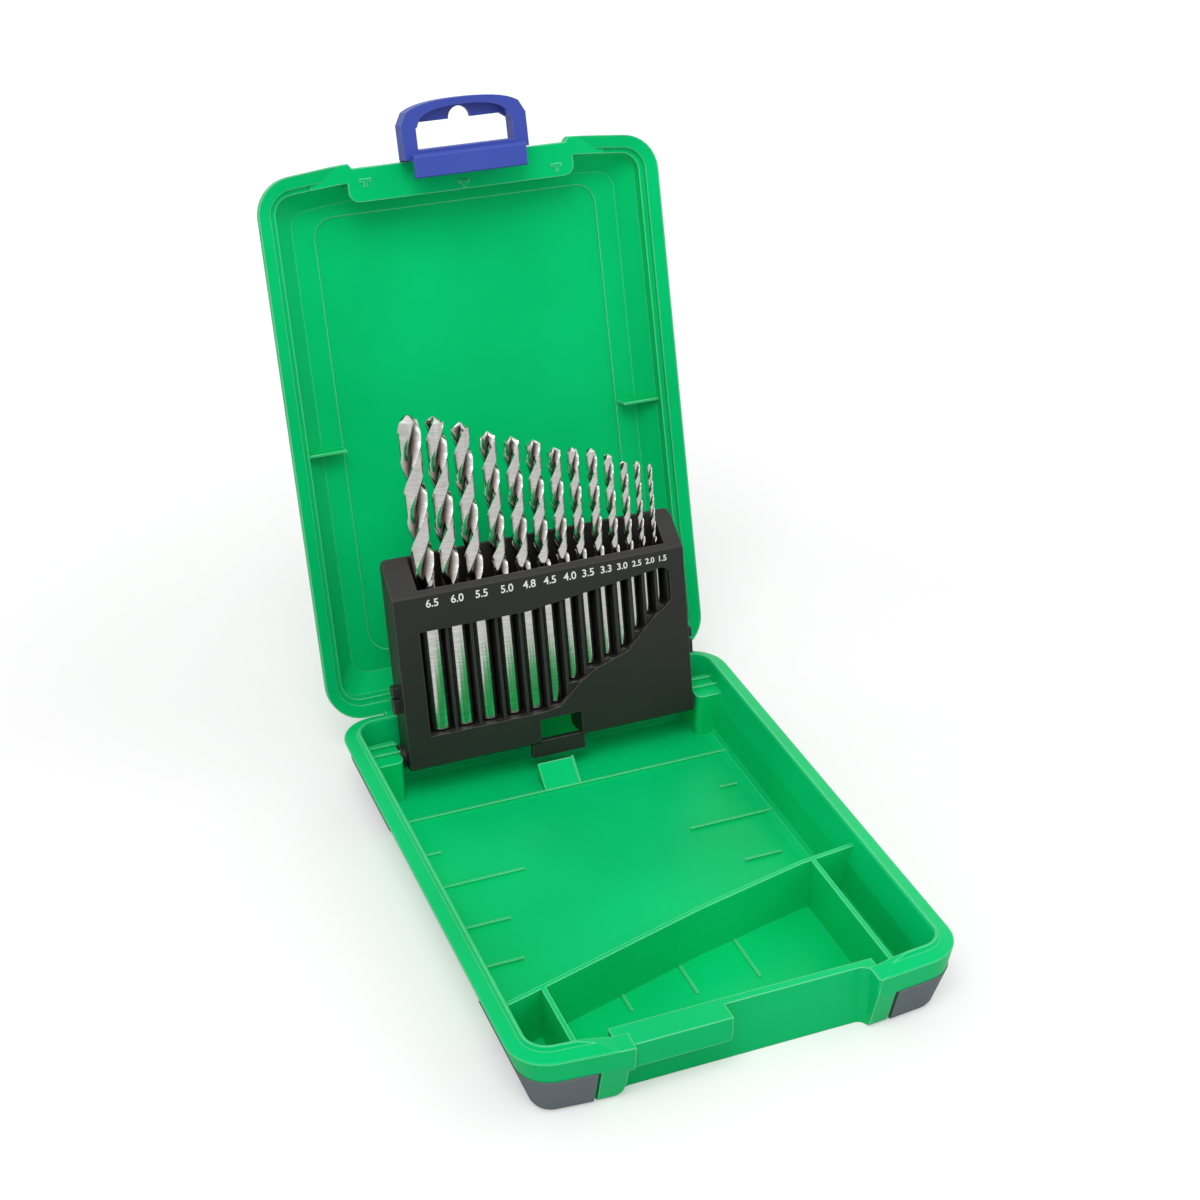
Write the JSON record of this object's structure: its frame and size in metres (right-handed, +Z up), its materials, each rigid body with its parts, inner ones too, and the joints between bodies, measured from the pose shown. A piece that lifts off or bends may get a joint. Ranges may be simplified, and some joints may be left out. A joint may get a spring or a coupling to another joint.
{
  "type": "drill bit case",
  "caption": "Hinged plastic drill bit case, shown open, with a sliding hang latch, compartments and a fold-up holder of twist drills.",
  "frame": {"origin": "centre of the underside of the base, on the surface it stands on", "axes": "+X to the right seen from the front, +Y towards the hinge, +Z up"},
  "size_m": [0.12, 0.2187, 0.1847],
  "materials": {
    "green_case_plastic": "moulded polypropylene, satin to glossy",
    "blue_latch_plastic": "moulded plastic, satin",
    "black_holder_plastic": "moulded plastic, satin",
    "grey_pad_rubber": "soft moulded pads, matt",
    "bright_drill_steel": "ground high speed steel",
    "hinge_pin_steel": "drawn wire"
  },
  "bodies": {
    "base": {"base_shell": "green_case_plastic", "corner_pad_front_left": "grey_pad_rubber", "corner_pad_front_right": "grey_pad_rubber", "corner_pad_rear_left": "grey_pad_rubber", "corner_pad_rear_right": "grey_pad_rubber", "hinge_pin_left": "hinge_pin_steel", "hinge_pin_right": "hinge_pin_steel"},
    "lid": {"lid_shell": "green_case_plastic"},
    "latch": {"slide_latch": "blue_latch_plastic"},
    "holder": {"bit_holder": "black_holder_plastic"},
    "drill_body_6_5": {"drill_6_5": "bright_drill_steel"},
    "drill_body_6_0": {"drill_6_0": "bright_drill_steel"},
    "drill_body_5_5": {"drill_5_5": "bright_drill_steel"},
    "drill_body_5_0": {"drill_5_0": "bright_drill_steel"},
    "drill_body_4_8": {"drill_4_8": "bright_drill_steel"},
    "drill_body_4_5": {"drill_4_5": "bright_drill_steel"},
    "drill_body_4_0": {"drill_4_0": "bright_drill_steel"},
    "drill_body_3_5": {"drill_3_5": "bright_drill_steel"},
    "drill_body_3_3": {"drill_3_3": "bright_drill_steel"},
    "drill_body_3_0": {"drill_3_0": "bright_drill_steel"},
    "drill_body_2_5": {"drill_2_5": "bright_drill_steel"},
    "drill_body_2_0": {"drill_2_0": "bright_drill_steel"},
    "drill_body_1_5": {"drill_1_5": "bright_drill_steel"}
  },
  "joints": [
    {"name": "lid_hinge", "type": "hinge", "parent": "base", "child": "lid", "pos_m": [0, 0.07975, 0.01478], "axis": [-1, 0, 0], "range_deg": [-106.37, 0]},
    {"name": "latch_slide", "type": "slide", "parent": "lid", "child": "latch", "axis": [1, 0, 0], "range_m": [-0.012, 0.012]},
    {"name": "holder_fold", "type": "hinge", "parent": "base", "child": "holder", "pos_m": [0, 0.063, 0.013], "axis": [-1, 0, 0], "range_deg": [-102, 0]},
    {"name": "drill_6_5_pull", "type": "slide", "parent": "holder", "child": "drill_body_6_5", "axis": [0, 0.2079, 0.9781], "range_m": [0, 0.0485]},
    {"name": "drill_6_0_pull", "type": "slide", "parent": "holder", "child": "drill_body_6_0", "axis": [0, 0.2079, 0.9781], "range_m": [0, 0.0485]},
    {"name": "drill_5_5_pull", "type": "slide", "parent": "holder", "child": "drill_body_5_5", "axis": [0, 0.2079, 0.9781], "range_m": [0, 0.0485]},
    {"name": "drill_5_0_pull", "type": "slide", "parent": "holder", "child": "drill_body_5_0", "axis": [0, 0.2079, 0.9781], "range_m": [0, 0.0485]},
    {"name": "drill_4_8_pull", "type": "slide", "parent": "holder", "child": "drill_body_4_8", "axis": [0, 0.2079, 0.9781], "range_m": [0, 0.0485]},
    {"name": "drill_4_5_pull", "type": "slide", "parent": "holder", "child": "drill_body_4_5", "axis": [0, 0.2079, 0.9781], "range_m": [0, 0.0477]},
    {"name": "drill_4_0_pull", "type": "slide", "parent": "holder", "child": "drill_body_4_0", "axis": [0, 0.2079, 0.9781], "range_m": [0, 0.0418]},
    {"name": "drill_3_5_pull", "type": "slide", "parent": "holder", "child": "drill_body_3_5", "axis": [0, 0.2079, 0.9781], "range_m": [0, 0.0383]},
    {"name": "drill_3_3_pull", "type": "slide", "parent": "holder", "child": "drill_body_3_3", "axis": [0, 0.2079, 0.9781], "range_m": [0, 0.0366]},
    {"name": "drill_3_0_pull", "type": "slide", "parent": "holder", "child": "drill_body_3_0", "axis": [0, 0.2079, 0.9781], "range_m": [0, 0.0348]},
    {"name": "drill_2_5_pull", "type": "slide", "parent": "holder", "child": "drill_body_2_5", "axis": [0, 0.2079, 0.9781], "range_m": [0, 0.0301]},
    {"name": "drill_2_0_pull", "type": "slide", "parent": "holder", "child": "drill_body_2_0", "axis": [0, 0.2079, 0.9781], "range_m": [0, 0.0262]},
    {"name": "drill_1_5_pull", "type": "slide", "parent": "holder", "child": "drill_body_1_5", "axis": [0, 0.2079, 0.9781], "range_m": [0, 0.0235]}
  ],
  "couplings": [
    {"joint": "holder_fold", "follows": "lid_hinge", "ratio": 0.95892}
  ]
}
